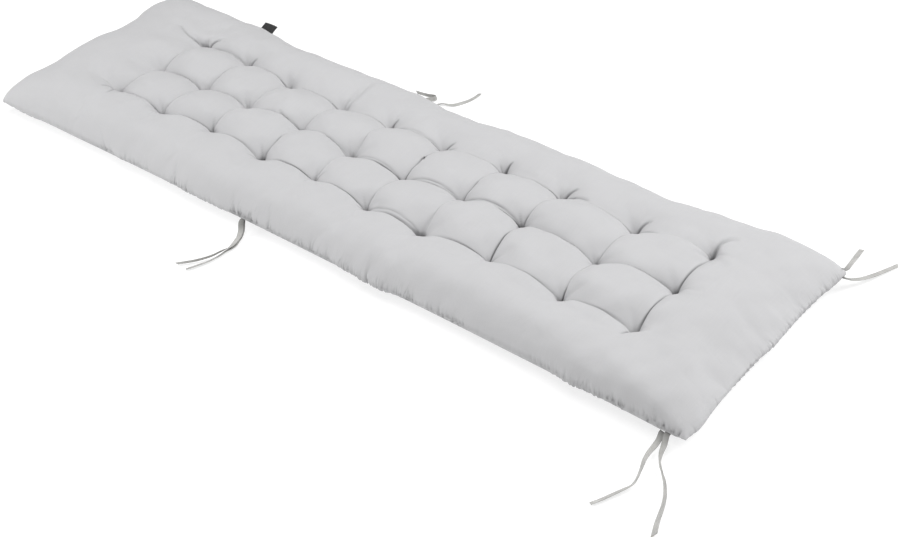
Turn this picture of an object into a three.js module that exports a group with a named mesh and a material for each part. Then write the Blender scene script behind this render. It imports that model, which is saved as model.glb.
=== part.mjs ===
// Tufted sun lounger cushion with sewn-in tie ribbons, lying flat on its back.
// Millimetres. +X runs from the head end to the foot end, +Y to the left side, +Z is up.
// The origin is on the ground under the middle of the cushion.

import * as THREE from 'three';

// Driving dimensions of the filled cushion.
const LENGTH = 1900;
const WIDTH = 550;
const SEAM_HEIGHT = 30; // the two panels meet here, all round
const CROWN_HEIGHT = 98; // top of the pillows above the ground
const HEAD_RISE = 13; // extra filling at the head end
const HEAD_RISE_FROM = 200; // it begins this far from the middle of the cushion
const HEAD_RISE_TO = 720; // and is full here
const PIT_HEIGHT = 44; // top panel where a tuft holds it down
const CREASE_HEIGHT = 80; // deepest crease, half way between two tufts
const UNDERSIDE_PIT = 26; // bottom panel where a tuft lifts it
const UNDERSIDE_PIT_RADIUS = 34;
const UNDERSIDE_PIT_POWER = 1.5; // above 1, a pit is pointed
const DRAW_IN_SIDE = 6; // how far the filling pulls the long seams inwards
const DRAW_IN_END = 5; // and the short ones
const FOOT_CORNER_REACH = 3; // the two foot corners stand out as ears
const ROLL_UNDER = 54; // width of the strip that curls up from the ground to the seam

// Sharpness of the shapes.
const CREASE_POWER = 0.75; // below 1, a crease rises steeply out of its pits
const PILLOW_POWER = 0.62; // below 1, a pillow rises steeply out of its creases
const EDGE_POWER = 2.4; // above 2, the crown stays high until near the seam
const EAR_POWER = 14; // even and high, so that an ear is narrow
const PIT_SPREAD = 0.2; // reach of a pit into the margin, as a share of the margin

// Where the ten rows of three tufts sit, from the head end to the foot end, as [x, y].
const TUFTS = [
  { right: [-679, -134], middle: [-663, -16], left: [-653, 121] },
  { right: [-521, -137], middle: [-511, -18], left: [-505, 113] },
  { right: [-378, -117], middle: [-373, -12], left: [-361, 106] },
  { right: [-216, -125], middle: [-209, -4], left: [-195, 104] },
  { right: [-55, -124], middle: [-55, -15], left: [-56, 106] },
  { right: [100, -136], middle: [97, -19], left: [96, 106] },
  { right: [244, -132], middle: [243, -6], left: [251, 120] },
  { right: [409, -124], middle: [391, 2], left: [404, 113] },
  { right: [590, -136], middle: [581, -14], left: [587, 104] },
  { right: [751, -132], middle: [748, 5], left: [752, 125] },
];

// Cells between neighbouring tufts, and how the wider margins are divided.
const CELLS_PER_PITCH = 6;
const END_MARGIN_STEPS = [0, 0.12, 0.28, 0.48, 0.68, 0.84, 0.95, 1];
const SIDE_MARGIN_STEPS = [0, 0.17, 0.38, 0.6, 0.8, 0.94, 1];

// Sewn-on pieces.
const TIE_WIDTH = 11;
const TIE_THICKNESS = 1.2;
const TIE_STEP = 4.5; // length of one straight piece of a faceted ribbon
const LABEL_WIDTH = 42;
const LABEL_THICKNESS = 1;
const LABEL_STEP = 11;

const CUSHION_CLOTH = { color: 0xcdcdcf, roughness: 0.9, metalness: 0 };
const TIE_CLOTH = { color: 0xb9b8b5, roughness: 0.9, metalness: 0 };
const LABEL_CLOTH = { color: 0x1c1c1c, roughness: 0.75, metalness: 0 };

// ---------------------------------------------------------------- cushion plan

const columns = TUFTS.length;
const rows = 3;

// Half width and half length of the sewn outline, drawn in between its corners.
function sideEdge(x) {
  const along = x / (LENGTH / 2);
  return WIDTH / 2 - DRAW_IN_SIDE * (1 - along ** 4);
}

function endEdge(y, endSign) {
  const along = y / (WIDTH / 2);
  const ear = endSign > 0 ? FOOT_CORNER_REACH * along ** EAR_POWER : 0;
  return LENGTH / 2 - DRAW_IN_END * (1 - along ** 2) + ear;
}

// A knot of the quilting net. Columns -1 and 10 and rows -1 and 3 are on the seam.
function netPoint(column, row) {
  const tuft = TUFTS[THREE.MathUtils.clamp(column, 0, columns - 1)];
  const [x, y] = [tuft.right, tuft.middle, tuft.left][THREE.MathUtils.clamp(row, 0, rows - 1)];
  const endSign = column < 0 ? -1 : 1;
  const sideSign = row < 0 ? -1 : 1;
  const onEnd = column < 0 || column >= columns;
  const onSide = row < 0 || row >= rows;
  if (onEnd && onSide) {
    return [endSign * endEdge(WIDTH / 2, endSign), sideSign * (WIDTH / 2)];
  }
  if (onEnd) {
    return [endSign * endEdge(y, endSign), y];
  }
  if (onSide) {
    return [x, sideSign * sideEdge(x)];
  }
  return [x, y];
}

// Place in plan of the point s columns and t rows along the net.
function plan(s, t) {
  const column = THREE.MathUtils.clamp(Math.floor(s), -1, columns - 1);
  const row = THREE.MathUtils.clamp(Math.floor(t), -1, rows - 1);
  const u = s - column;
  const v = t - row;
  const mix = THREE.MathUtils.lerp;
  const [right, left] = [row, row + 1].map((r) => {
    const a = netPoint(column, r);
    const b = netPoint(column + 1, r);
    return [mix(a[0], b[0], u), mix(a[1], b[1], u)];
  });
  const point = [mix(right[0], left[0], v), mix(right[1], left[1], v)];
  if (s <= -1 || s >= columns) {
    point[0] = Math.sign(s) * endEdge(point[1], Math.sign(s));
  }
  if (t <= -1 || t >= rows) {
    point[1] = Math.sign(t) * sideEdge(point[0]);
  }
  return point;
}

// ------------------------------------------------------------- cushion heights

// How far a net coordinate lies out in the margin: 0 at the last tuft, 1 at the seam.
function marginShare(value, last) {
  return Math.max(0, -value, value - last);
}

// Crease line between two tufts: 0 in both pits, 1 half way between them.
function creaseRise(value, last) {
  const inside = value > 0 && value < last;
  return inside ? Math.abs(Math.sin(Math.PI * value)) : 0;
}

function edgeProfile(share) {
  return Math.sqrt(Math.max(0, 1 - share ** EDGE_POWER));
}

function crownHeight(x) {
  const headShare = THREE.MathUtils.smoothstep(-x, HEAD_RISE_FROM, HEAD_RISE_TO);
  return CROWN_HEIGHT + HEAD_RISE * headShare;
}

function topHeight(s, t) {
  const crown = crownHeight(plan(s, t)[0]);
  const marginS = marginShare(s, columns - 1);
  const marginT = marginShare(t, rows - 1);
  const riseS = creaseRise(s, columns - 1);
  const riseT = creaseRise(t, rows - 1);
  const line = Math.max(riseS, riseT) ** CREASE_POWER;
  const lineHeight = PIT_HEIGHT + (CREASE_HEIGHT - PIT_HEIGHT) * line;
  if (marginS === 0 && marginT === 0) {
    return lineHeight + (crown - lineHeight) * (riseS * riseT) ** PILLOW_POWER;
  }
  const out = Math.min(1, Math.hypot(marginS, marginT));
  const dip = (crown - lineHeight) * Math.exp(-out / PIT_SPREAD) * (1 - out);
  const full = SEAM_HEIGHT + (crown - SEAM_HEIGHT) * edgeProfile(marginS) * edgeProfile(marginT);
  return full - dip;
}

// The share of the underside's curl at a point this far in from the seam.
function curl(distance) {
  const share = Math.max(0, 1 - distance / ROLL_UNDER);
  return Math.sqrt(1 - share ** 2);
}

function undersideHeight(s, t) {
  const [x, y] = plan(s, t);
  const fromEnd = endEdge(y, Math.sign(x)) - Math.abs(x);
  const fromSide = sideEdge(x) - Math.abs(y);
  const pit = nearestTuft(x, y) / UNDERSIDE_PIT_RADIUS;
  const lift = UNDERSIDE_PIT * Math.max(0, 1 - pit) ** UNDERSIDE_PIT_POWER;
  return SEAM_HEIGHT * (1 - curl(fromEnd) * curl(fromSide)) + lift;
}

function nearestTuft(x, y) {
  const places = TUFTS.flatMap((tuft) => [tuft.right, tuft.middle, tuft.left]);
  return Math.min(...places.map((place) => Math.hypot(place[0] - x, place[1] - y)));
}

// -------------------------------------------------------------- cushion surface

// Net coordinates of the grid lines: even between the tufts, listed in the margins.
function gridLines(count, marginSteps) {
  const lines = marginSteps.toReversed().map((step) => -step);
  for (let k = 1; k < (count - 1) * CELLS_PER_PITCH; k += 1) {
    lines.push(k / CELLS_PER_PITCH);
  }
  return lines.concat(marginSteps.map((step) => count - 1 + step));
}

// One closed skin: a top sheet and an underside that share their outer ring of points.
function cushionGeometry() {
  const sLines = gridLines(columns, END_MARGIN_STEPS);
  const tLines = gridLines(rows, SIDE_MARGIN_STEPS);
  const positions = [];
  const triangles = [];

  function sheet(heightAt, ring) {
    return sLines.map((s, i) => tLines.map((t, j) => {
      const onSeam = i === 0 || j === 0 || i === sLines.length - 1 || j === tLines.length - 1;
      if (onSeam && ring) {
        return ring[i][j];
      }
      const [x, y] = plan(s, t);
      positions.push(x, y, onSeam ? SEAM_HEIGHT : heightAt(s, t));
      return positions.length / 3 - 1;
    }));
  }

  const top = sheet(topHeight, null);
  const underside = sheet(undersideHeight, top);
  for (let i = 0; i + 1 < sLines.length; i += 1) {
    for (let j = 0; j + 1 < tLines.length; j += 1) {
      addCell(triangles, [top[i][j], top[i + 1][j], top[i + 1][j + 1], top[i][j + 1]]);
      const [a, b] = [underside[i][j], underside[i][j + 1]];
      const [d, c] = [underside[i + 1][j], underside[i + 1][j + 1]];
      addCell(triangles, [a, b, c, d]);
    }
  }
  return closedGeometry(positions, triangles);
}

function addCell(triangles, [a, b, c, d]) {
  triangles.push(a, b, c, a, c, d);
}

function closedGeometry(positions, triangles) {
  const geometry = new THREE.BufferGeometry();
  geometry.setAttribute('position', new THREE.Float32BufferAttribute(positions, 3));
  geometry.setIndex(triangles);
  geometry.computeVertexNormals();
  return geometry;
}

// ------------------------------------------------------------ ribbons and label

// A flat strip along a route. Each route point is [x, y, z, roll]: roll is in degrees and
// turns the strip about its own length, 0 being level across.
function stripGeometry(route, width, thickness, step) {
  const curve = new THREE.CatmullRomCurve3(route.map(([x, y, z]) => new THREE.Vector3(x, y, z)));
  const count = Math.round(curve.getLength() / step);
  const positions = [];
  const triangles = [];
  for (let k = 0; k <= count; k += 1) {
    const u = curve.getUtoTmapping(k / count);
    const centre = curve.getPoint(u);
    const tangent = curve.getTangent(u);
    const level = new THREE.Vector3(-tangent.y, tangent.x, 0).normalize();
    const across = level.clone().applyAxisAngle(tangent, rollAt(route, u));
    const normal = tangent.clone().cross(across);
    for (const [a, b] of [[-1, -1], [1, -1], [1, 1], [-1, 1]]) {
      const corner = centre.clone();
      corner.addScaledVector(across, (a * width) / 2);
      corner.addScaledVector(normal, (b * thickness) / 2);
      positions.push(corner.x, corner.y, corner.z);
    }
  }
  for (let k = 0; k < count; k += 1) {
    for (let side = 0; side < 4; side += 1) {
      const next = (side + 1) % 4;
      const base = 4 * k;
      addCell(triangles, [base + side, base + next, base + 4 + next, base + 4 + side]);
    }
  }
  const last = 4 * count;
  addCell(triangles, [3, 2, 1, 0]);
  addCell(triangles, [last, last + 1, last + 2, last + 3]);
  return closedGeometry(positions, triangles);
}

function rollAt(route, u) {
  const place = u * (route.length - 1);
  const k = Math.min(Math.floor(place), route.length - 2);
  const degrees = THREE.MathUtils.lerp(route[k][3], route[k + 1][3], place - k);
  return THREE.MathUtils.degToRad(degrees);
}

// Routes of the ties, from the seam to the cut end: [x, y, z, roll].
const TIE_ROUTES = {
  tie_right_mid_1: [
    [-128, -269.4, 31.3, 0], [-128, -273.2, 31.2, -8], [-127, -278, 28, -20],
    [-125.5, -281.5, 22, -20], [-121.5, -287.5, 14.5, -10], [-116, -299, 9.2, 4],
    [-113, -309, 8.2, 6], [-109, -322, 8, 14], [-107, -335.5, 8.7, 32], [-110.5, -349.5, 9.4, 52],
    [-117.5, -376, 8.6, 58], [-134, -403, 7, 60], [-160, -432.5, 6.2, 58],
  ],
  tie_right_mid_2: [
    [-128, -269.4, 28.8, 0], [-128, -271.8, 28.7, -5], [-126.6, -274.8, 25.6, -20],
    [-125, -278.1, 19.2, -20], [-121.2, -284.9, 11.8, -10], [-115.6, -297.6, 6.4, 3],
    [-112, -308, 5.2, 5], [-108, -319, 4.2, 6], [-107, -329, 4, 12], [-109, -343, 3.7, 24],
    [-109, -360, 3.7, 28], [-113, -385.5, 4, 28], [-122, -409, 4.2, 26], [-132.5, -432, 4.2, 22],
  ],
  tie_left_mid_1: [
    [-128, 269.4, 31.1, 0], [-128, 273, 31.1, 0], [-129.5, 281, 26.5, 4], [-135, 291, 18, 12],
    [-139, 302, 11, 32], [-138, 309.5, 8.4, 54], [-134, 317.5, 7.8, 70], [-128.5, 324.5, 7.6, 76],
    [-123.5, 330.5, 7.9, 78], [-121, 335, 8.4, 78], [-122, 338, 9, 78], [-127, 337.5, 9.8, 78],
    [-133.5, 334, 10.8, 76], [-142.5, 330, 11.6, 74], [-153, 327.5, 12, 72],
    [-162.5, 326.5, 12, 72], [-171.5, 325.5, 12, 72],
  ],
  tie_left_mid_2: [
    [-128, 269.4, 28.9, 0], [-128, 272, 28.9, 0], [-126.6, 278, 24.4, 0], [-122, 287, 14, 0],
    [-116, 298, 6, 0], [-110, 311, 3, -2], [-105.5, 322, 3.2, -14], [-101, 329.5, 3.8, -26],
    [-94, 333.5, 3.6, -28], [-85, 336.5, 2.4, -13], [-75, 343, 1.6, 3], [-68, 354, 1.3, 5],
    [-62, 367, 1.3, 0], [-57, 380, 1.6, -7], [-54, 397, 2.2, -13], [-54, 414, 2.6, -18],
  ],
  tie_right_foot_1: [
    [907, -275.2, 28.8, 0], [906.5, -278, 28, 2], [907.5, -282.5, 25.4, 4],
    [909, -290.5, 22.2, 2], [909, -303, 18, 0], [908, -318, 14.5, 16], [909, -332, 11, 34],
    [914, -348, 8.6, 50], [918, -361, 7.6, 56], [922, -376, 7, 54], [923, -389, 6.5, 46],
    [918, -403, 6, 34], [909, -423, 5, 30], [900, -443, 4.2, 28], [890, -461, 3.6, 28],
  ],
  tie_right_foot_2: [
    [917.5, -274.9, 31, 0], [917.5, -278.5, 30.9, 2], [919, -284, 28.8, 4],
    [922.8, -295.5, 21.2, 4], [925, -306, 16, 30], [930, -317, 13, 60], [936, -327, 11, 80],
    [944, -335, 9.5, 88],
    [954, -345, 8, 84], [963, -354, 7.4, 71], [973, -367, 6, 61], [981, -380, 5.2, 54],
    [988, -395, 4.8, 46], [994, -412, 4.2, 38], [1000, -430, 3.8, 34], [1011, -456, 3.3, 28],
  ],
  tie_left_foot_1: [
    [941, 275.4, 30, 0], [941, 278.5, 29.7, -2], [944, 284.5, 27, -8], [945, 290, 25, -12],
    [943.8, 298, 22.8, -15], [940.7, 315, 19, -15], [935.2, 348.7, 11.5, -12],
    [930, 382.5, 5, -10],
  ],
  tie_left_foot_2: [
    [952.5, 262, 30, 0], [955, 262, 28.8, 0], [957, 265, 25, -4], [958.5, 269.5, 21, -10],
    [962.5, 276, 17, -13], [968, 284.5, 14, -11], [974.5, 294.5, 12, -8], [981.5, 311, 9, -5],
    [987.5, 326, 7, -6], [993.5, 343, 5, -8], [1000.5, 363, 3.2, -10], [1007, 381, 2, -10],
  ],
};

// The label stands out of the left seam near the head end: up beside the pillow, then over.
const LABEL_ROUTE = [
  [-628, 270.7, 31, 0], [-628, 276.5, 38.5, 0], [-628, 286, 45.5, 0], [-628, 298, 52, 0],
  [-628, 310, 57.5, 0],
];

// ----------------------------------------------------------------- the object

function piece(name, geometry, cloth) {
  const mesh = new THREE.Mesh(geometry, new THREE.MeshStandardMaterial(cloth));
  mesh.name = name;
  return mesh;
}

const loungerCushion = new THREE.Group();
loungerCushion.add(piece('cushion', cushionGeometry(), CUSHION_CLOTH));
const label = stripGeometry(LABEL_ROUTE, LABEL_WIDTH, LABEL_THICKNESS, LABEL_STEP);
loungerCushion.add(piece('label', label, LABEL_CLOTH));
for (const [name, route] of Object.entries(TIE_ROUTES)) {
  const tie = stripGeometry(route, TIE_WIDTH, TIE_THICKNESS, TIE_STEP);
  loungerCushion.add(piece(name, tie, TIE_CLOTH));
}

export default loungerCushion;
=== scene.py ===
"""Looks of the tufted sun lounger cushion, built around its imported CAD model.

Metres. +X runs from the head end to the foot end, +Y to the left side, +Z is up, as in the frame.
The tables of routes, folds and gathers are in millimetres, as in the CAD source.
"""

import math

import bmesh
import bpy
import numpy as np
from mathutils import Euler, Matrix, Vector


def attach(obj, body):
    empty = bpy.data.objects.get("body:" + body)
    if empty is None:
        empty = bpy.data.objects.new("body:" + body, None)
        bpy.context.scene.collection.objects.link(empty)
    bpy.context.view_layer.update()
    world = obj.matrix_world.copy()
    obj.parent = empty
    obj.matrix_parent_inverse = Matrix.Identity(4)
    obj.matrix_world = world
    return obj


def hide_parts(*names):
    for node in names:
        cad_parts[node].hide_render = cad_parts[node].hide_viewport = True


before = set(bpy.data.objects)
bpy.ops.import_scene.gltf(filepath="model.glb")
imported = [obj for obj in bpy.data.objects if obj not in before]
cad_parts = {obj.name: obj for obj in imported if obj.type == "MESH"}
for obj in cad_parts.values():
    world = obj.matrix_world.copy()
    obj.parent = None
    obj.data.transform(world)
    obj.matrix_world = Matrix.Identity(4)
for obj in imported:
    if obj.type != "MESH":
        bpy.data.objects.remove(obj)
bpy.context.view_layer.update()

# ---------- helpers


def metres(rows, lengths):
    """The rows of a table, with this many of their first numbers changed from millimetres."""
    return [[round(value / 1000, 7) for value in row[:lengths]] + [*row[lengths:]] for row in rows]


def smoothstep(x, low, high):
    share = np.clip((x - low) / (high - low), 0, 1)
    return share * share * (3 - 2 * share)


def bell(share):
    return np.exp(-(share ** 2))


def unit(vectors):
    return vectors / np.linalg.norm(vectors, axis=1)[:, None]


def show(piece):
    bpy.context.scene.collection.objects.link(piece)


def new_mesh(name, points, faces, material):
    mesh = bpy.data.meshes.new(name)
    corners = [tuple(map(float, point)) for point in points]
    mesh.from_pydata(corners, [], [tuple(map(int, face)) for face in faces])
    mesh.materials.append(material)
    mesh.polygons.foreach_set("use_smooth", [True] * len(mesh.polygons))
    mesh.update()
    piece = bpy.data.objects.new(name, mesh)
    show(piece)
    return piece


def spread(count, where, *columns):
    """Three numbers for each of so many points: these at some of them, and 0 at the rest."""
    values = np.zeros((count, 3))
    values[where] = np.stack(columns, axis=-1)
    return values


def cell_faces(index):
    """Corners of every cell in a grid of point numbers."""
    corners = [index[:-1, :-1], index[1:, :-1], index[1:, 1:], index[:-1, 1:]]
    return np.stack([corner.ravel() for corner in corners], axis=1)


def faces_round(index):
    """Corners of every cell in a grid whose rows are closed rings."""
    return cell_faces(np.column_stack([index, index[:, 0]]))


def read_vectors(items, field):
    """Vectors of a mesh's points or of one of its attributes, a row each."""
    values = np.zeros(len(items) * 3, np.float32)
    items.foreach_get(field, values)
    return values.reshape(-1, 3).astype(float)


def write_points(mesh, points):
    mesh.vertices.foreach_set("co", points.ravel().astype(np.float32))
    mesh.update()


def set_attribute(mesh, name, values):
    """Stores a vector for each point of the mesh."""
    layer = mesh.attributes.get(name) or mesh.attributes.new(name, "FLOAT_VECTOR", "POINT")
    layer.data.foreach_set("vector", values.ravel().astype(np.float32))


def set_tape(mesh, along, across):
    """Stores how far along and across its tape each point of the mesh is."""
    along, across = np.broadcast_arrays(along, across)
    set_attribute(mesh, "tape", np.stack([along, across, np.zeros(along.shape)], axis=-1))


# ---------- camera

CAMERA_PLACE = (1.8739, -1.7862, 1.8305)
# Turns about X, Y and Z, in degrees.
CAMERA_TURNS = (51.255, 4.100, 40.038)
LENS_MM = 59.17
FILM_WIDTH_MM = 36


def make_camera():
    data = bpy.data.cameras.new("camera")
    data.sensor_width = FILM_WIDTH_MM
    data.lens = LENS_MM
    camera = bpy.data.objects.new("camera", data)
    camera.rotation_euler = Euler([math.radians(turn) for turn in CAMERA_TURNS], "XYZ")
    camera.location = CAMERA_PLACE
    show(camera)
    bpy.context.scene.camera = camera


# ---------- ties

TIE_WIDTH = 0.011
TIE_THICKNESS = 0.0012
TIE_STEP = 0.0025
SPLINE_SAMPLES = 24
# The tape's cupping: its height, its change along the tape, and the square of the share of the
# half width where it is level.
CUP_HEIGHT = 0.0007
CUP_CHANGE = 5
CUP_LEVEL = 0.4
# How far a cut end slants, as a share of the half width, and over how many widths it does.
TIE_END_SLANT = {"tie_right_foot_2": -0.7, "tie_left_foot_2": 0.8, "tie_right_mid_1": 0.4}
USUAL_END_SLANT = 0.1
SLANT_RUN = 1.6
# The upper half of a tape's section, across and up, as shares of its half width and half
# thickness. Its two long edges are a little fatter than its middle.
TAPE_UPPER = [
    (-1, 0.35), (-0.93, 0.95), (-0.8, 1), (-0.6, 0.72), (-0.2, 0.7),
    (0.2, 0.7), (0.6, 0.72), (0.8, 1), (0.93, 0.95), (1, 0.35),
]
TAPE_SECTION = TAPE_UPPER + [(across, -up) for across, up in reversed(TAPE_UPPER)]

# The same routes as in the CAD source: (x, y, z, roll in degrees).
TIE_ROUTES = {
    "tie_right_mid_1": [
        (-128, -269.4, 31.3, 0), (-128, -273.2, 31.2, -8), (-127, -278, 28, -20), (-125.5, -281.5, 22, -20),
        (-121.5, -287.5, 14.5, -10), (-116, -299, 9.2, 4), (-113, -309, 8.2, 6), (-109, -322, 8, 14),
        (-107, -335.5, 8.7, 32), (-110.5, -349.5, 9.4, 52), (-117.5, -376, 8.6, 58), (-134, -403, 7, 60),
        (-160, -432.5, 6.2, 58),
    ],
    "tie_right_mid_2": [
        (-128, -269.4, 28.8, 0), (-128, -271.8, 28.7, -5), (-126.6, -274.8, 25.6, -20),
        (-125, -278.1, 19.2, -20), (-121.2, -284.9, 11.8, -10), (-115.6, -297.6, 6.4, 3),
        (-112, -308, 5.2, 5), (-108, -319, 4.2, 6), (-107, -329, 4, 12), (-109, -343, 3.7, 24),
        (-109, -360, 3.7, 28), (-113, -385.5, 4, 28), (-122, -409, 4.2, 26), (-132.5, -432, 4.2, 22),
    ],
    "tie_left_mid_1": [
        (-128, 269.4, 31.1, 0), (-128, 273, 31.1, 0), (-129.5, 281, 26.5, 4), (-135, 291, 18, 12),
        (-139, 302, 11, 32), (-138, 309.5, 8.4, 54), (-134, 317.5, 7.8, 70), (-128.5, 324.5, 7.6, 76),
        (-123.5, 330.5, 7.9, 78), (-121, 335, 8.4, 78), (-122, 338, 9, 78), (-127, 337.5, 9.8, 78),
        (-133.5, 334, 10.8, 76), (-142.5, 330, 11.6, 74), (-153, 327.5, 12, 72), (-162.5, 326.5, 12, 72),
        (-171.5, 325.5, 12, 72),
    ],
    "tie_left_mid_2": [
        (-128, 269.4, 28.9, 0), (-128, 272, 28.9, 0), (-126.6, 278, 24.4, 0), (-122, 287, 14, 0),
        (-116, 298, 6, 0), (-110, 311, 3, -2), (-105.5, 322, 3.2, -14), (-101, 329.5, 3.8, -26),
        (-94, 333.5, 3.6, -28), (-85, 336.5, 2.4, -13), (-75, 343, 1.6, 3), (-68, 354, 1.3, 5),
        (-62, 367, 1.3, 0), (-57, 380, 1.6, -7), (-54, 397, 2.2, -13), (-54, 414, 2.6, -18),
    ],
    "tie_right_foot_1": [
        (907, -275.2, 28.8, 0), (906.5, -278, 28, 2), (907.5, -282.5, 25.4, 4), (909, -290.5, 22.2, 2),
        (909, -303, 18, 0), (908, -318, 14.5, 16), (909, -332, 11, 34), (914, -348, 8.6, 50),
        (918, -361, 7.6, 56), (922, -376, 7, 54), (923, -389, 6.5, 46), (918, -403, 6, 34),
        (909, -423, 5, 30), (900, -443, 4.2, 28), (890, -461, 3.6, 28),
    ],
    "tie_right_foot_2": [
        (917.5, -274.9, 31, 0), (917.5, -278.5, 30.9, 2), (919, -284, 28.8, 4), (922.8, -295.5, 21.2, 4),
        (925, -306, 16, 30), (930, -317, 13, 60), (936, -327, 11, 80), (944, -335, 9.5, 88),
        (954, -345, 8, 84), (963, -354, 7.4, 71), (973, -367, 6, 61), (981, -380, 5.2, 54),
        (988, -395, 4.8, 46), (994, -412, 4.2, 38), (1000, -430, 3.8, 34), (1011, -456, 3.3, 28),
    ],
    "tie_left_foot_1": [
        (941, 275.4, 30, 0), (941, 278.5, 29.7, -2), (944, 284.5, 27, -8), (945, 290, 25, -12),
        (943.8, 298, 22.8, -15), (940.7, 315, 19, -15), (935.2, 348.7, 11.5, -12), (930, 382.5, 5, -10),
    ],
    "tie_left_foot_2": [
        (952.5, 262, 30, 0), (955, 262, 28.8, 0), (957, 265, 25, -4), (958.5, 269.5, 21, -10),
        (962.5, 276, 17, -13), (968, 284.5, 14, -11), (974.5, 294.5, 12, -8), (981.5, 311, 9, -5),
        (987.5, 326, 7, -6), (993.5, 343, 5, -8), (1000.5, 363, 3.2, -10), (1007, 381, 2, -10),
    ],
}


def hermite(start, start_slope, end, end_slope, share):
    """Points of the cubic between two points, with these slopes at its ends."""
    square, cube = share * share, share * share * share
    return (
        (2 * cube - 3 * square + 1) * start + (cube - 2 * square + share) * start_slope
        + (3 * square - 2 * cube) * end + (cube - square) * end_slope
    )


def route_points(route, step):
    """Evenly spaced points and rolls along the centripetal Catmull-Rom spline through a route,
    and its length."""
    knots = np.array([knot[:3] for knot in route], float)
    rolls = np.radians([knot[3] for knot in route])
    padded = np.vstack([2 * knots[0] - knots[1], knots, 2 * knots[-1] - knots[-2]])
    gaps = np.sqrt(np.linalg.norm(np.diff(padded, axis=0), axis=1))
    share = np.linspace(0, 1, SPLINE_SAMPLES, endpoint=False)
    points = []
    turned = []
    for k in range(len(knots) - 1):
        p0, p1, p2, p3 = padded[k : k + 4]
        d0, d1, d2 = gaps[k : k + 3]
        slope_1 = ((p1 - p0) / d0 - (p2 - p0) / (d0 + d1) + (p2 - p1) / d1) * d1
        slope_2 = ((p2 - p1) / d1 - (p3 - p1) / (d1 + d2) + (p3 - p2) / d2) * d1
        points.append(hermite(p1, slope_1, p2, slope_2, share[:, None]))
        turned.append(rolls[k] * (1 - share) + rolls[k + 1] * share)
    points = np.vstack([*points, knots[-1:]])
    turned = np.concatenate([*turned, rolls[-1:]])
    run = np.r_[0, np.cumsum(np.linalg.norm(np.diff(points, axis=0), axis=1))]
    places = np.linspace(0, run[-1], max(2, round(run[-1] / step) + 1))
    even = np.column_stack([np.interp(places, run, points[:, axis]) for axis in range(3)])
    return even, np.interp(places, run, turned), run[-1]


def strip_frames(points, rolls):
    """Unit vectors along a strip, across it and out of its face, at each of its points."""
    tangents = unit(np.gradient(points, axis=0))
    level = unit(np.column_stack([-tangents[:, 1], tangents[:, 0], np.zeros(len(points))]))
    side = np.cross(tangents, level)
    across = level * np.cos(rolls)[:, None] + side * np.sin(rolls)[:, None]
    return tangents, across, np.cross(tangents, across)


def tie_rings(name, points, rolls, length):
    """Places of the section's points round a tie, at each of its points."""
    tangents, across, normals = strip_frames(points, rolls)
    half_width = TIE_WIDTH / 2
    share = np.linspace(0, 1, len(points))
    cup = CUP_HEIGHT * np.sin(np.pi * share) * np.sin(CUP_CHANGE * share + len(name))
    slant = TIE_END_SLANT.get(name, USUAL_END_SLANT)
    near_end = smoothstep(share, 1 - SLANT_RUN * TIE_WIDTH / length, 1)
    lines = []
    for a, b in TAPE_SECTION:
        place = points + across * (a * half_width) + normals * (b * TIE_THICKNESS / 2)
        place = place + normals * (cup * (a * a - CUP_LEVEL))[:, None]
        lines.append(place + tangents * (near_end * a * slant * half_width)[:, None])
    return np.stack(lines, axis=1)


def tube_faces(count, sides):
    """Faces round a tube of this many rings, and the cells that close its two ends."""
    index = np.arange(count * sides).reshape(count, sides)
    half = sides // 2
    start, end = (
        cell_faces(np.column_stack([ring[:half], ring[: half - 1 : -1]]))
        for ring in (index[0], index[-1])
    )
    return [*faces_round(index), *start, *end[:, ::-1]]


def make_tie(name, material):
    points, rolls, length = route_points(metres(TIE_ROUTES[name], 3), TIE_STEP)
    rings = tie_rings(name, points, rolls, length)
    count, sides = rings.shape[:2]
    tie = new_mesh(name + "_tape", rings.reshape(-1, 3), tube_faces(count, sides), material)
    along = np.linspace(0, 1, count)[:, None] * length
    set_tape(tie.data, along, [a * TIE_WIDTH / 2 for a, _ in TAPE_SECTION])
    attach(tie, "root")
    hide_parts(name)


# ---------- label

LABEL_X = -0.628
LABEL_WIDTH = 0.042
LABEL_THICKNESS = 0.0008
# The same route as in the CAD source: (y, z).
LABEL_ROUTE = [(270.7, 31), (276.5, 38.5), (286, 45.5), (298, 52), (310, 57.5)]
LABEL_STEP = 0.0012
LABEL_CELLS_ACROSS = 28
# The far end thins over this length, until this share of its squared thickness is left.
LABEL_ROUNDING = 0.001
LABEL_END = 0.05
LABEL_SAG = 0.0012


def make_label(material):
    """A woven label, sewn into the seam by one end, its far end rounded over as a fold."""
    route = [(LABEL_X, y, z, 0) for y, z in metres(LABEL_ROUTE, 2)]
    points, _, length = route_points(route, LABEL_STEP)
    normals = np.cross((1, 0, 0), unit(np.gradient(points, axis=0)))
    along = np.linspace(0, length, len(points))
    rounded = 1 - smoothstep(along, length - LABEL_ROUNDING, length)
    half = LABEL_THICKNESS / 2 * np.sqrt(np.clip(rounded, LABEL_END, 1))[:, None]
    ring = np.concatenate([points + normals * half, (points - normals * half)[::-1]])
    steps = np.linspace(-1, 1, LABEL_CELLS_ACROSS + 1)
    grid = np.array([ring + (a * LABEL_WIDTH / 2, 0, 0) for a in steps])
    # The label's free corners sag a little and its middle bows up.
    reach = np.clip((ring[:, 1] - points[0, 1]) / (points[-1, 1] - points[0, 1]), 0, 1)
    grid[..., 2] -= LABEL_SAG * steps[:, None] ** 2 * reach ** 2
    index = np.arange(grid[..., 0].size).reshape(grid.shape[:2])
    faces = [*faces_round(index), index[0, ::-1], index[-1]]
    label = new_mesh("label_woven", grid.reshape(-1, 3), faces, material)
    both_ways = np.concatenate([along, 2 * length - along[::-1]])
    set_tape(label.data, both_ways, (steps * LABEL_WIDTH / 2)[:, None])
    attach(label, "root")
    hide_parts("label")


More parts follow.
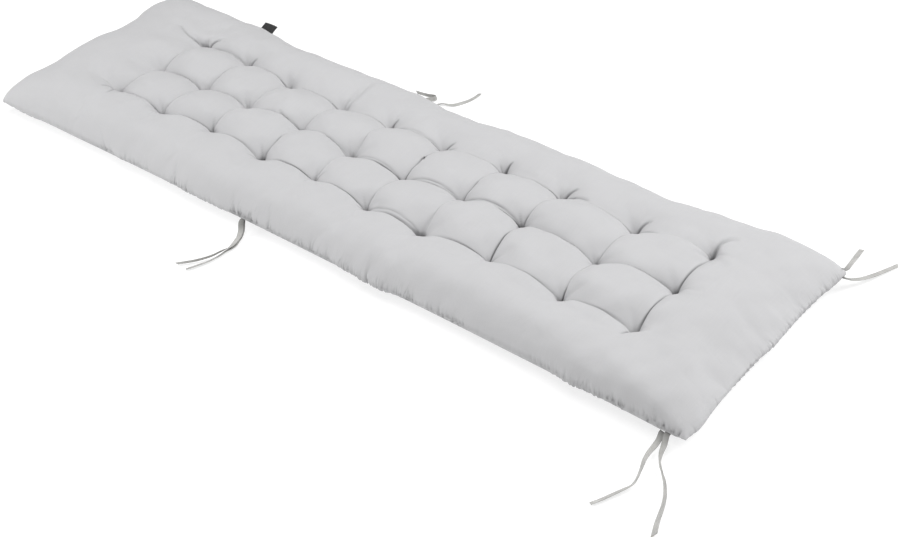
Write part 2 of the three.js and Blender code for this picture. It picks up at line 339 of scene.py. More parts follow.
# ---------- cushion sizes

LENGTH = 1.900
WIDTH = 0.550
SEAM_HEIGHT = 0.030
CROWN_HEIGHT = 0.090
HEAD_RISE = 0.011
# The head end's extra filling comes in between these shares of the length from the middle.
HEAD_RISE_SPAN = (0.05, 0.33)
PIT_HEIGHT = 0.052
CREASE_HEIGHT = 0.091
CREASE_PULL = 0.007
CREASE_POWER = 0.62
# How much the pillows between the tufts stand above the margins, and how soon that fades.
PILLOW_RISE = 0.009
PILLOW_FADE = 0.3
PILLOW_ROUNDNESS = 2.0
# A pillow's slopes: a lower power is steeper. They are softer along the middle of a side.
STEEP = 0.6
GENTLE = 0.85
SOFTENING = 0.15
# How far the seams are drawn in between their corners, and the foot corners' small ears.
DRAW_IN_SIDE = 0.006
DRAW_IN_HEAD = 0.005
DRAW_IN_FOOT = 0.001
FOOT_CORNER_REACH = 0.003
EAR_POWER = 14
# The underside curls up to the seam over this width, and is pitted under each tuft.
ROLL_UNDER = 0.054
UNDERSIDE_PIT = 0.026
UNDERSIDE_PIT_RADIUS = 0.034
UNDERSIDE_PIT_POWER = 1.5
# How square each edge is: a higher power keeps its height for longer, then falls faster.
HEAD_EDGE_POWER = 5.0
FOOT_EDGE_POWER = 2.8
RIGHT_EDGE_POWER = 3.0
LEFT_EDGE_POWER = 4.2
# What the side edges' powers gain towards a corner: the sign of x, from, to, and how much.
RIGHT_CORNERS = [(1, 0.25, 0.75, 2.64), (-1, 0.5, 0.85, 1.2)]
LEFT_CORNERS = [(-1, 0.2, 0.7, 1.2), (1, 0.6, 0.85, 1.2)]
# Above 1, the panels meet at a knife edge at the seam.
SEAM_SLOPE = 2.0
# How far the creases run out from the outer tufts, as shares of the margins.
END_REACH = 0.08
LEFT_REACH = np.array([0.1, 0.08, 0.12, 0.3, 0.14, 0.1, 0.12, 0.16, 0.14, 0.1])
RIGHT_REACH = np.array([0.12, 0.2, 0.26, 0.22, 0.28, 0.24, 0.26, 0.3, 0.26, 0.12])
# The margins rise from the outer tufts over half these shares of their width.
END_LOBE = 0.7
SIDE_LOBE = 0.9

# Ten rows of three tufts, from the head end to the foot end: right, middle and left (x, y).
TUFTS = np.array([
    [(-679, -134), (-663, -16), (-653, 121)],
    [(-521, -137), (-511, -18), (-505, 113)],
    [(-378, -117), (-373, -12), (-361, 106)],
    [(-216, -125), (-209, -4), (-195, 104)],
    [(-55, -124), (-55, -15), (-56, 106)],
    [(100, -136), (97, -19), (96, 106)],
    [(244, -132), (243, -6), (251, 120)],
    [(409, -124), (391, 2), (404, 113)],
    [(590, -136), (581, -14), (587, 104)],
    [(751, -132), (748, 5), (752, 125)],
]) / 1000
COLUMNS, ROWS = TUFTS.shape[:2]
LAST_COLUMN, LAST_ROW = COLUMNS - 1, ROWS - 1
# How tightly each crease is drawn in, 0 to 1, which also sets how dark its line of painted shade is: along
# the right, middle and left rows of tufts, then across each of the ten rows, right to middle and middle to
# left.
ALONG_CREASES = np.array([
    (0.4, 0.3, 0.4, 0.7, 0.4, 0.6, 0.6, 0.3, 0.4),
    (0.4, 0.4, 0.05, 0.4, 0.8, 0.9, 0.9, 0.4, 0.5),
    (0.7, 0.7, 0.8, 0.6, 1.0, 0.5, 0.9, 0.6, 0.2),
])
ACROSS_CREASES = np.array([
    (0.6, 0.6), (0.1, 0.1), (0.5, 0.05), (0.6, 0.7), (0.15, 0.1),
    (0.6, 0.7), (0.1, 0.3), (0.9, 0.5), (0.7, 0.3), (0.8, 0.8),
])

# Cells between two tufts and in the margins, and how much they bunch at their span's ends.
CELLS_ALONG = 20
CELLS_ACROSS = 18
END_MARGIN_CELLS = 24
SIDE_MARGIN_CELLS = 16
LINE_BUNCHING = 0.88
MARGIN_BUNCHING = 0.5
# Lines that run out through a margin to the seam lose their bunching over these shares of it.
END_EVENING = (0.05, 0.35)
SIDE_EVENING = (0.05, 0.45)

# s and t are places on the net of tufts: s counts its columns from the head end and t its rows
# from the right side. The tufts are at whole numbers, and the seam is 1 beyond the outer ones.


def side_edge(x):
    return WIDTH / 2 - DRAW_IN_SIDE * (1 - (x / (LENGTH / 2)) ** 4)


def end_edge(y, end_sign):
    along = y / (WIDTH / 2)
    draw_in = np.where(end_sign > 0, DRAW_IN_FOOT, DRAW_IN_HEAD)
    ear = np.where(end_sign > 0, FOOT_CORNER_REACH * along ** EAR_POWER, 0)
    return LENGTH / 2 - draw_in * (1 - along ** 2) + ear


def net_knots():
    """The tufts with a ring of knots on the seam round them."""
    knots = np.zeros((COLUMNS + 2, ROWS + 2, 2))
    knots[1:-1, 1:-1] = TUFTS
    for outer, sign in ((0, -1), (-1, 1)):
        x, y = TUFTS[:, outer, 0], TUFTS[outer, :, 1]
        knots[1:-1, outer] = np.stack([x, sign * side_edge(x)], axis=-1)
        knots[outer, 1:-1] = np.stack([sign * end_edge(y, sign), y], axis=-1)
        corner_x = sign * end_edge(WIDTH / 2, sign)
        knots[outer, [0, -1]] = [(corner_x, -WIDTH / 2), (corner_x, WIDTH / 2)]
    return knots


def plan(s, t):
    """Place in plan, x and y, of points on the net."""
    knots = net_knots()
    i = np.clip(np.floor(s).astype(int) + 1, 0, COLUMNS)
    j = np.clip(np.floor(t).astype(int) + 1, 0, ROWS)
    u = (s + 1 - i)[..., None]
    v = (t + 1 - j)[..., None]
    low = knots[i, j] * (1 - u) + knots[i + 1, j] * u
    high = knots[i, j + 1] * (1 - u) + knots[i + 1, j + 1] * u
    place = low * (1 - v) + high * v
    return place[..., 0], place[..., 1]


def bunched(shares, amount):
    """Moves evenly spaced shares towards both ends of their span."""
    return (1 - amount) * shares + amount * (1 - np.cos(np.pi * shares)) / 2


def net_lines(count, cells, margin_cells, bunching):
    inner = bunched(np.arange(1, cells + 1) / cells, bunching)
    inside = np.concatenate([k + inner for k in range(count - 1)])[:-1]
    out = bunched(np.arange(margin_cells + 1) / margin_cells, MARGIN_BUNCHING)
    return np.concatenate([-out[::-1], inside, count - 1 + out])


def beyond(value, last):
    """How far a place on the net is out in the margin, and 0 between the outer tufts."""
    return np.maximum(0, np.maximum(-value, value - last))


def nearest(value, last):
    return np.clip(np.round(value), 0, last).astype(int)


def arch(share):
    """Rise across a pillow, from 0 at its creases to 1 in its middle."""
    return 1 - np.abs(1 - 2 * np.clip(share, 0, 1)) ** PILLOW_ROUNDNESS


def edge_profile(share, power):
    """Rise from the seam, where the share is 1: the higher the power, the squarer the edge."""
    return np.maximum(0, 1 - share ** power) ** (SEAM_SLOPE / power)


def lobe(value, last, margin_lobe):
    """Arch along one net direction, and the share of the margin beyond the last tuft."""
    outer = beyond(value, last)
    inner = arch(value - np.floor(value))
    return np.where(outer > 0, arch(np.minimum(0.5, outer / margin_lobe)), inner), outer


def soft_min(a, b):
    """About the smaller of two shares, and exactly the other where one is 1."""
    return (np.maximum(a, 0.001) ** -2 + np.maximum(b, 0.001) ** -2 - 1) ** -0.5


def crease_pull(s, t):
    """How tightly the nearest creases along and across the cushion are drawn in."""
    column = np.clip(np.floor(s), 0, LAST_COLUMN - 1).astype(int)
    row = np.clip(np.floor(t), 0, LAST_ROW - 1).astype(int)
    return ALONG_CREASES[nearest(t, LAST_ROW), column], ACROSS_CREASES[nearest(s, LAST_COLUMN), row]


def fullness(s, t):
    """0 at a crease, 1 on top of a pillow or out in the margins; also the crease's own rise."""
    arch_s, outer_s = lobe(s, LAST_COLUMN, END_LOBE)
    arch_t, outer_t = lobe(t, LAST_ROW, SIDE_LOBE)
    # Each pillow leans over the crease behind it and towards the head, and slopes gently
    # down to the crease before it and towards the foot.
    lean_s = np.where(s - np.floor(s) < 0.5, STEEP, GENTLE)
    lean_t = np.where(t - np.floor(t) > 0.5, STEEP, GENTLE)
    along = arch_s ** (lean_s + SOFTENING * arch_t)
    over = arch_t ** (lean_t + SOFTENING * arch_s)
    # Out in the margins the creases that cross them fade away.
    column = nearest(s, LAST_COLUMN)
    reach = np.where(t < 0, RIGHT_REACH[column], LEFT_REACH[column])
    cross_s = 1 - (1 - np.sqrt(arch_s)) * np.exp(-outer_t / reach)
    cross_t = 1 - (1 - np.sqrt(arch_t)) * np.exp(-outer_s / END_REACH)
    along = np.where((outer_t > 0) & (outer_s == 0), cross_s, along)
    over = np.where((outer_s > 0) & (outer_t == 0), cross_t, over)
    corner = (outer_s > 0) & (outer_t > 0)
    away = np.hypot(outer_s / END_LOBE, outer_t / SIDE_LOBE)
    full = np.where(corner, np.sqrt(arch(np.minimum(0.5, away))), soft_min(along, over))
    return full, np.maximum(arch_s, arch_t)


def side_power(x, y):
    powers = []
    for power, corners in ((RIGHT_EDGE_POWER, RIGHT_CORNERS), (LEFT_EDGE_POWER, LEFT_CORNERS)):
        for sign, start, end, gain in corners:
            power = power + gain * smoothstep(sign * x, start, end)
        powers.append(power)
    return np.where(y < 0, *powers)


def top_height(s, t, x, y):
    rise_start, rise_end = (LENGTH * share for share in HEAD_RISE_SPAN)
    crown = CROWN_HEIGHT + HEAD_RISE * smoothstep(-x, rise_start, rise_end)
    full, rise = fullness(s, t)
    pull_along, pull_across = crease_pull(s, t)
    nearer_along = np.abs(t - np.round(t)) < np.abs(s - np.round(s))
    drop = CREASE_PULL * np.where(nearer_along, pull_along, pull_across)
    line = PIT_HEIGHT + (CREASE_HEIGHT - drop - PIT_HEIGHT) * rise ** CREASE_POWER
    outer_s = beyond(s, LAST_COLUMN)
    outer_t = beyond(t, LAST_ROW)
    crown = crown + PILLOW_RISE * (1 - smoothstep(np.hypot(outer_s, outer_t), 0, PILLOW_FADE))
    raised = line + (crown - line) * full
    end_power = np.where(s < 0, HEAD_EDGE_POWER, FOOT_EDGE_POWER)
    rounding = edge_profile(outer_s, end_power) * edge_profile(outer_t, side_power(x, y))
    return SEAM_HEIGHT + (raised - SEAM_HEIGHT) * rounding


def curl(distance):
    share = np.clip(1 - distance / ROLL_UNDER, 0, 1)
    return np.sqrt(1 - share ** 2)


def tuft_distance(x, y):
    tuft_x, tuft_y = TUFTS.reshape(-1, 2).T
    return np.min(np.hypot(x[..., None] - tuft_x, y[..., None] - tuft_y), axis=-1)


def underside_height(x, y):
    near = np.maximum(0, 1 - tuft_distance(x, y) / UNDERSIDE_PIT_RADIUS)
    inwards = curl(end_edge(y, np.sign(x)) - np.abs(x)) * curl(side_edge(x) - np.abs(y))
    return SEAM_HEIGHT * (1 - inwards) + UNDERSIDE_PIT * near ** UNDERSIDE_PIT_POWER


def net_grid():
    """Net places of the top panel's points, bunched at the creases between the tufts."""
    grids = []
    for bunching in (LINE_BUNCHING, 0):
        s_lines = net_lines(COLUMNS, CELLS_ALONG, END_MARGIN_CELLS, bunching)
        t_lines = net_lines(ROWS, CELLS_ACROSS, SIDE_MARGIN_CELLS, bunching)
        grids.append(np.meshgrid(s_lines, t_lines, indexing="ij"))
    (s_fine, t_fine), (s_even, t_even) = grids
    out_s = smoothstep(beyond(s_fine, LAST_COLUMN), *END_EVENING)
    out_t = smoothstep(beyond(t_fine, LAST_ROW), *SIDE_EVENING)
    return s_fine * (1 - out_t) + s_even * out_t, t_fine * (1 - out_s) + t_even * out_s


def seam_lines(index):
    """The four lines of point numbers round a panel."""
    return index[0], index[-1], index[:, 0], index[:, -1]


def cushion_start():
    """The closed start shape: points and faces, its two panels' point numbers, and s and t.

    The underside uses every second line of the top panel's grid and shares its seam."""
    s, t = net_grid()
    x, y = plan(s, t)
    top = np.stack([x, y, top_height(s, t, x, y)], axis=-1)
    seam = np.ones(s.shape, bool)
    seam[1:-1, 1:-1] = False
    top[seam, 2] = SEAM_HEIGHT
    top_index = np.arange(s.size).reshape(s.shape)
    under_index = top_index[::2, ::2].copy()
    inner = ~seam[::2, ::2]
    under_index[inner] = s.size + np.arange(inner.sum())
    under_x, under_y = x[::2, ::2][inner], y[::2, ::2][inner]
    under = np.stack([under_x, under_y, underside_height(under_x, under_y)], axis=-1)
    faces = [*cell_faces(top_index), *underside_faces(top_index, under_index)]
    return np.vstack([top.reshape(-1, 3), under]), faces, top_index, under_index, s, t


def underside_faces(top_index, under_index):
    """Cells of the underside. Those at the seam take in the top panel's points half way along."""
    halfway = {}
    for line in seam_lines(top_index):
        for a, middle, b in zip(line[:-1:2], line[1::2], line[2::2]):
            halfway[a, b] = halfway[b, a] = middle
    faces = []
    for cell in cell_faces(under_index)[:, [0, 3, 2, 1]]:
        face = []
        for pair in zip(cell, np.roll(cell, -1)):
            face.append(pair[0])
            if pair in halfway:
                face.append(halfway[pair])
        faces.append(face)
    return faces


# ---------- simulation

FRAMES = 12
CLOTH_SETTINGS = {
    "quality": 6,
    "mass": 0.3,
    "tension_stiffness": 15,
    "compression_stiffness": 5,
    "shear_stiffness": 5,
    "bending_stiffness": 0.5,
    "vertex_group_mass": "held",
    "vertex_group_shrink": "taut",
    # The cloth grows by 3% where it isn't taut.
    "shrink_min": -0.03,
    "shrink_max": 0,
    "use_pressure": True,
    "uniform_pressure_force": 2.0,
}
SEAM_HOLD = 0.5
MARGIN_TIGHTNESS = 0.9
# How far the simulation may move points on top of the pillows, at creases and underneath.
TOP_CAP = 0.018
CREASE_CAP = 0.004
UNDER_CAP = 0.003
# The mesh is cut finer this near the outer tufts of the two sides, and in a band at the seam.
RIGHT_REFINE = 0.022
LEFT_REFINE = 0.034
END_REFINE = 0.3
SEAM_BAND = 0.017
SEAM_CUTS = 2


def evaluated(piece):
    """A new mesh of the piece with its modifiers applied."""
    shown = piece.evaluated_get(bpy.context.evaluated_depsgraph_get())
    return bpy.data.meshes.new_from_object(shown)


def add_group(cushion, name, weights):
    group = cushion.vertex_groups.new(name=name)
    for weight in np.unique(weights[weights > 0]):
        group.add(np.flatnonzero(weights == weight).tolist(), float(weight), "REPLACE")


def simulate(cushion, held, taut):
    """Inflates the cushion with Blender's cloth and returns its points."""
    add_group(cushion, "taut", taut)
    add_group(cushion, "held", held)
    cloth = cushion.modifiers.new("cloth", "CLOTH")
    cloth.point_cache.frame_start = 1
    cloth.point_cache.frame_end = FRAMES
    for name, value in CLOTH_SETTINGS.items():
        setattr(cloth.settings, name, value)
    cloth.settings.effector_weights.gravity = 0
    scene = bpy.context.scene
    for step in range(1, FRAMES + 1):
        scene.frame_set(step)
    mesh = evaluated(cushion)
    moved = read_vectors(mesh.vertices, "co")
    bpy.data.meshes.remove(mesh)
    cushion.modifiers.remove(cloth)
    scene.frame_set(1)
    return moved


def at_tufts(s, t):
    on_net = (s == np.round(s)) & (t == np.round(t))
    return on_net & (beyond(s, LAST_COLUMN) == 0) & (beyond(t, LAST_ROW) == 0)


def inflated(cushion, points, top_index, under_index, s, t):
    """The start shape's points after a short inflation that no point follows beyond its cap."""
    held = np.zeros(len(points))
    held[top_index[at_tufts(s, t)]] = 1
    held[under_index[at_tufts(s[::2, ::2], t[::2, ::2])]] = 1
    taut = np.ones(len(points))
    outside = (beyond(s, LAST_COLUMN) > 0) | (beyond(t, LAST_ROW) > 0)
    taut[top_index] = np.where(outside, MARGIN_TIGHTNESS, 0)
    for seam in seam_lines(top_index):
        held[seam] = SEAM_HOLD
        taut[seam] = 1
    move = simulate(cushion, held, taut) - points
    cap = np.full(len(points), UNDER_CAP)
    cap[top_index] = CREASE_CAP + (TOP_CAP - CREASE_CAP) * fullness(s, t)[0]
    size = np.maximum(np.linalg.norm(move, axis=1), 1e-9)
    settled = points + move * (cap * np.tanh(size / cap) / size)[:, None]
    settled[:, 2] = np.maximum(settled[:, 2], 0)
    return settled


def subdivide(cushion):
    smooth = cushion.modifiers.new("smooth", "SUBSURF")
    smooth.levels = 1
    mesh = evaluated(cushion)
    cushion.modifiers.clear()
    cushion.data = mesh


def beside_outer_tuft(vert, net):
    """Is a point of the top panel in the margin beside a tuft of one of the two long rows?"""
    s, t, panel = vert[net]
    if panel < 0.5 or 0 < t < LAST_ROW or not -END_REFINE < s < LAST_COLUMN + END_REFINE:
        return False
    at_right = t <= 0
    x, y = TUFTS[min(max(round(s), 0), LAST_COLUMN), 0 if at_right else -1]
    return math.hypot(vert.co.x - x, vert.co.y - y) < (RIGHT_REFINE if at_right else LEFT_REFINE)


def along_seam(edge, net, seam):
    """Does an edge of the top panel run along the seam, close to it?"""
    a, b = edge.verts
    if min(a[net].z, b[net].z) < 0.5:
        return False
    run = b.co - a.co
    at_side = max(a[seam].x, b[seam].x) < SEAM_BAND and abs(run.x) > 2 * abs(run.y)
    at_end = max(a[seam].y, b[seam].y) < SEAM_BAND and abs(run.y) > 2 * abs(run.x)
    return at_side or at_end


def refine(mesh):
    """Cuts the cells finer beside the outer tufts, for the folds that fan out from them, and
    along the seam, for its small puckers."""
    work = bmesh.new()
    work.from_mesh(mesh)
    net = work.verts.layers.float_vector["net"]
    seam = work.verts.layers.float_vector["seam"]
    near = {vert for vert in work.verts if beside_outer_tuft(vert, net)}
    edges = [edge for edge in work.edges if near.issuperset(edge.verts)]
    bmesh.ops.subdivide_edges(work, edges=edges, cuts=1, use_grid_fill=True)
    edges = [edge for edge in work.edges if along_seam(edge, net, seam)]
    bmesh.ops.subdivide_edges(work, edges=edges, cuts=SEAM_CUTS, use_grid_fill=True)
    work.to_mesh(mesh)
    work.free()


# ---------- folds and puckers

# A place on the net times these is about a distance.
TUFT_PITCH_ALONG = 0.160
TUFT_PITCH_ACROSS = 0.122
# A crease's strength falls to 0 at its tufts by this power, and starts from this much as it
# grows from one to the other.
CREASE_END_POWER = 0.3
CREASE_START = 0.25
GROOVE_DEPTH = 0.007
GROOVE_HALF_WIDTH = 0.0006
# Second creases that bow out beside the main ones: row and column of tufts, how far they bow
# out across, and their strength.
DOUBLE_CREASES = [
    (1, 5, 0.0070, 0.9), (1, 6, 0.0075, 1.0), (0, 5, 0.0065, 0.8), (2, 4, 0.0060, 0.6),
    (2, 0, 0.0055, 0.5), (1, 4, 0.0055, 0.4),
]
DOUBLE_DEPTH = 0.0025
DOUBLE_HALF_WIDTH = 0.0013
DOUBLE_REACH = 0.3
DOUBLE_BOW_POWER = 0.7
# The main folds: start x, y, end x, y, sideways bend, half width and depth.
FOLDS = [
    (-655, 124, -748, 128, 12, 3, 4.5), (-651, 124, -625, 148, 2, 2.4, 4),
    (-679, -137, -666, -171, 3, 2.4, 4), (-682, -137, -702, -159, 2, 2.4, 4),
    (-503, 116, -489, 136, 2, 2.4, 3.5), (-215, -6, -279, 2, 8, 3, 5), (-195, 109, -183, 204, 4, 8, 4.5),
    (-55, 109, -45, 134, 2, 2.4, 4), (98, 109, 113, 134, 2, 2.4, 4), (99, 108, 126, 120, 2, 2.2, 3),
    (252, 123, 259, 146, 2, 2.4, 4), (406, 116, 427, 143, 2, 2.6, 5), (407, 114, 470, 119, 6, 2.6, 4.5),
    (589, 107, 606, 137, 3, 2.6, 4.5), (590, 105, 637, 113, 3, 2.4, 3), (753, 129, 778, 177, 10, 5.5, 6.5),
    (748, -135, 745, -169, 2, 2.4, 4),
]
FOLD_SAMPLES = 24
# A fold's depth sets in between these shares of its length.
FOLD_START = (-0.2, 0.15)
LIP = 0.35
# Small folds that fan out from every tuft: their number, the share of short ones, ranges of
# reach and depth, half width at the tuft and its gain, how soon they set in, and how far they go.
FAN_FOLDS = 6
SHORT_FANS = 0.7
SHORT_FAN = (0.008, 0.017)
LONG_FAN = (0.018, 0.030)
FAN_DEPTH = (0.0012, 0.0028)
FAN_HALF_WIDTH = 0.0013
FAN_WIDENING = 0.0012
FAN_START = 0.004
FAN_SQUARE = 0.04
# Stretches of the seam with small gathers: from, to, their spacing and their strength.
RIGHT_GATHERS = [
    (-940, -600, 40, 0.7), (-600, -550, 8, 1.2), (-520, -440, 12, 1.1), (-440, -370, 30, 0.7),
    (-370, -280, 10, 1.2), (-260, -170, 22, 0.8), (-170, -90, 6, 2), (-60, 50, 12, 1.2), (50, 220, 9, 1.4),
    (240, 340, 9, 1.4), (340, 460, 12, 1.2), (460, 620, 30, 0.8), (620, 720, 10, 1.1), (720, 870, 8, 1.3),
    (870, 940, 6, 1.9),
]
LEFT_GATHERS = [
    (-940, -700, 18, 0.9), (-700, -600, 9, 1.3), (-600, -400, 22, 0.9), (-400, -320, 10, 1.2),
    (-320, -200, 20, 0.9), (-200, -80, 7, 1.6), (-80, 120, 18, 1), (120, 200, 9, 1.3), (200, 450, 20, 1),
    (450, 550, 10, 1.3), (550, 780, 16, 1), (780, 940, 7, 1.7),
]
HEAD_GATHERS = [(-260, 260, 16, 1)]
FOOT_GATHERS = [(-260, -50, 18, 0.6), (-50, 100, 12, 1), (100, 260, 9, 1.2)]
# The longer folds that start at the seam: place, lean, reach, half width and depth.
RIGHT_FOLDS = [
    (-582, 34, 50, 3, 4.2), (-436, 10, 30, 3, 3), (-345, 26, 70, 3.4, 4), (-306, 4, 25, 3, 3),
    (-163, 22, 60, 3.2, 4.2), (-110, 6, 34, 2.6, 3.4), (-60, 28, 78, 3.4, 4.2), (60, 12, 45, 3, 3),
    (105, 10, 40, 3, 3.4), (181, 12, 32, 3, 3), (220, 12, 64, 3.4, 4.2), (400, 10, 35, 3, 3),
    (700, 6, 30, 3, 3), (800, 8, 36, 3, 3.4), (890, 12, 40, 3, 3.4),
]
LEFT_FOLDS = [
    (-737, 10, 60, 6, 5), (-501, 8, 70, 6, 5), (-371, 10, 70, 6, 4.5), (-221, 6, 75, 6, 5),
    (83, 8, 70, 6, 5), (300, 10, 70, 6, 4.5), (410, 12, 70, 6, 5), (620, 8, 50, 4, 3.5),
    (780, 10, 50, 4, 3.5),
]
HEAD_FOLDS = [(-140, 10, 50, 4, 3.5), (50, 10, 45, 4, 3), (170, -8, 50, 4, 3.5)]
FOOT_FOLDS = [
    (-169, 6, 30, 3, 1.8), (15, 6, 28, 3, 2.4), (79, 8, 30, 3, 2.2), (131, 10, 32, 3, 2.6),
    (205, 10, 30, 2.6, 2.8),
]
# The four seams: the axis across each and its side of it, its gathers and its folds.
SEAMS = [
    (1, -1, RIGHT_GATHERS, RIGHT_FOLDS), (1, 1, LEFT_GATHERS, LEFT_FOLDS),
    (0, -1, HEAD_GATHERS, HEAD_FOLDS), (0, 1, FOOT_GATHERS, FOOT_FOLDS),
]
# Ranges of the gathers' spacing, reach, half width and depth, the mean and spread of their
# slant, how far to either side gathers and folds are felt, and the part of a gather's reach
# that goes with its strength.
GATHER_SPACING = (0.5, 1.6)
GATHER_REACH = (0.007, 0.019)
GATHER_HALF_WIDTH = (0.0013, 0.0024)
GATHER_DEPTH = (0.0010, 0.0026)
GATHER_SLANT = (-0.1, 0.25)
GATHER_SQUARE = 0.02
FOLD_SQUARE = 0.08
GATHER_GAIN = 0.4
# The folds at the seam are pressed narrower and shallower than their rows say.
FOLD_NARROWING = 0.7
FOLD_FLATTENING = 0.8
# Every pucker wavers: by how much, over what length, and how its phase runs along the seam.
# Inwards it widens by this share, and fades by this power.
WAVER = 0.0012
WAVER_LENGTH = 0.006
WAVER_PHASE = 40
PUCKER_WIDENING = 0.6
PUCKER_FADE = 1.1
# The finest puckers, which the material draws as thin lines of painted shade and as a bump: their
# reach, the part of it that goes with their strength, the strengths between which they set in, and how
# softly they do so along the seam.
FINE_REACH = 0.016
FINE_GAIN = 0.5
FINE_SPAN = (0.8, 1.4)
FINE_BLUR = 0.01
# Painted shade: how dark the cloth is painted in its tufts, folds and puckers and at its seam, where shade
# falls.
TUFT_SHADE = 0.9
TUFT_SHADE_RADIUS = 0.0045
FOLD_SHADE_WIDTH = 0.0025
SHADE_SCALE = 0.004
SEAM_SHADE = 0.12
SEAM_LINE = 0.0010
PUCKER_DARKNESS = 0.3
# Wavelength and height of the filling's unevenness, and how many waves of each there are.
LUMPS = [(0.210, 0.0012), (0.095, 0.0006), (0.047, 0.00025)]
LUMP_WAVES = 4
SEED = 7


def valley(distance, half_width):
    """A groove of depth 1 with faint raised lips."""
    share = distance / half_width
    return (1 - LIP * share ** 2) * bell(share)


def fold_darkness(half_width):
    """Wide folds get less painted shade than their depth."""
    return min(1, (FOLD_SHADE_WIDTH / half_width) ** 2)


def fold_field(x, y):
    """Depth of the folds at points in plan, and how much painted shade they get."""
    depth = np.zeros_like(x)
    dark = np.zeros_like(x)
    for x0, y0, x1, y1, bend, half_width, deep in metres(FOLDS, 7):
        run = np.array([x1 - x0, y1 - y0])
        side = np.array([-run[1], run[0]]) / np.hypot(*run)
        w = np.linspace(0, 1, FOLD_SAMPLES)
        line = np.array([x0, y0]) + w[:, None] * run + (4 * bend * w * (1 - w))[:, None] * side
        low, high = line.min(axis=0) - 4 * half_width, line.max(axis=0) + 4 * half_width
        near = np.flatnonzero((x > low[0]) & (x < high[0]) & (y > low[1]) & (y < high[1]))
        gaps = np.hypot(x[near, None] - line[:, 0], y[near, None] - line[:, 1])
        best = w[gaps.argmin(axis=1)]
        fade = np.sqrt(1 - best) * smoothstep(best, *FOLD_START)
        pressed = deep * fade * valley(gaps.min(axis=1), half_width)
        depth[near] += pressed
        dark[near] += pressed * fold_darkness(half_width)
    return depth, dark


def crease_strengths(s, t):
    """How deep, and how dark in painted shade, the nearest crease along and the nearest across are here, 0
    to 1.
    """
    on_along = (s > 0) & (s < LAST_COLUMN) & (beyond(t, LAST_ROW) < 0.5)
    on_across = (t > 0) & (t < LAST_ROW) & (beyond(s, LAST_COLUMN) < 0.5)
    runs = (s - np.floor(s), 1 - (t - np.floor(t)))
    strengths = []
    for pull, run, here in zip(crease_pull(s, t), runs, (on_along, on_across)):
        ends = np.sin(np.pi * run) ** CREASE_END_POWER
        strengths.append(pull * ends * (CREASE_START + run) * here)
    return strengths


def groove_field(s, t, along, across):
    """Depth of the tight grooves along the creases between the tufts."""
    grooves = []
    for value, pitch, strength in ((t, TUFT_PITCH_ACROSS, along), (s, TUFT_PITCH_ALONG, across)):
        distance = np.abs(value - np.round(value)) * pitch
        grooves.append(bell(distance / GROOVE_HALF_WIDTH) * strength)
    return GROOVE_DEPTH * np.maximum(*grooves)


def double_field(s, t):
    """Depth of the second crease that runs beside some of the creases."""
    depth = np.zeros_like(s)
    for row, column, offset, strength in DOUBLE_CREASES:
        along = np.sin(np.pi * np.clip(s - column, 0, 1))
        gap = (t - row) * TUFT_PITCH_ACROSS - offset * along ** DOUBLE_BOW_POWER
        fade = np.sqrt(along) * (np.abs(t - row) < DOUBLE_REACH)
        depth += strength * DOUBLE_DEPTH * fade * bell(gap / DOUBLE_HALF_WIDTH)
    return depth


def fan_field(rng, x, y):
    """Depth of the small folds that fan out from every tuft."""
    depth = np.zeros_like(x)
    for tuft in TUFTS.reshape(-1, 2):
        near = (np.abs(x - tuft[0]) < FAN_SQUARE) & (np.abs(y - tuft[1]) < FAN_SQUARE)
        dx, dy = x[near] - tuft[0], y[near] - tuft[1]
        for turn in rng.uniform(0, 1, FAN_FOLDS) + np.arange(FAN_FOLDS):
            angle = turn * 2 * np.pi / FAN_FOLDS
            reach = rng.uniform(*(SHORT_FAN if rng.random() < SHORT_FANS else LONG_FAN))
            run = dx * np.cos(angle) + dy * np.sin(angle)
            gap = dy * np.cos(angle) - dx * np.sin(angle)
            share = np.clip(run / reach, 0, 1)
            fade = (1 - share) * smoothstep(run, 0, FAN_START)
            half_width = FAN_HALF_WIDTH + FAN_WIDENING * share
            depth[near] += rng.uniform(*FAN_DEPTH) * fade * valley(gap, half_width)
    return depth


def gather_places(rng, gathers):
    """Places of the small gathers: spaced along each stretch of the seam, and its strength."""
    places = []
    for start, end, spacing, strength in gathers:
        place = start
        while place < end:
            places.append((place, strength))
            place += spacing * rng.uniform(*GATHER_SPACING)
    return places


def pucker(along, inward, place, slant, curve, reach, half_width, deep):
    """Depth of one pucker that runs in from this place on the seam."""
    waver = WAVER * np.sin(inward / WAVER_LENGTH + WAVER_PHASE * place)
    gap = along - place - slant * inward - curve * inward * inward - waver
    share = np.clip(inward / reach, 0, 1)
    widened = half_width * (1 + PUCKER_WIDENING * share)
    return deep * (1 - share) ** PUCKER_FADE * valley(gap, widened)


def pucker_field(rng, along, inward, gathers, folds):
    """Depth of the seam's puckers at points this far along it and in from it, and how much
    painted shade they get."""
    depth = np.zeros_like(along)
    for place, strength in gather_places(rng, gathers):
        reach = rng.uniform(*GATHER_REACH) * (1 - GATHER_GAIN + GATHER_GAIN * strength)
        half_width = rng.uniform(*GATHER_HALF_WIDTH)
        deep = rng.uniform(*GATHER_DEPTH) * strength
        shape = (rng.normal(*GATHER_SLANT), 0, reach, half_width, deep)
        near = (inward < reach) & (np.abs(along - place) < GATHER_SQUARE)
        depth[near] += pucker(along[near], inward[near], place, *shape)
    dark = depth.copy()
    for place, lean, reach, half_width, deep in folds:
        narrowed, flattened = FOLD_NARROWING * half_width, FOLD_FLATTENING * deep
        shape = (0, -lean / reach ** 2, reach, narrowed, flattened)
        near = (inward < reach) & (np.abs(along - place) < FOLD_SQUARE)
        pressed = pucker(along[near], inward[near], place, *shape)
        depth[near] += pressed
        dark[near] += pressed * fold_darkness(half_width)
    return depth, PUCKER_DARKNESS * dark


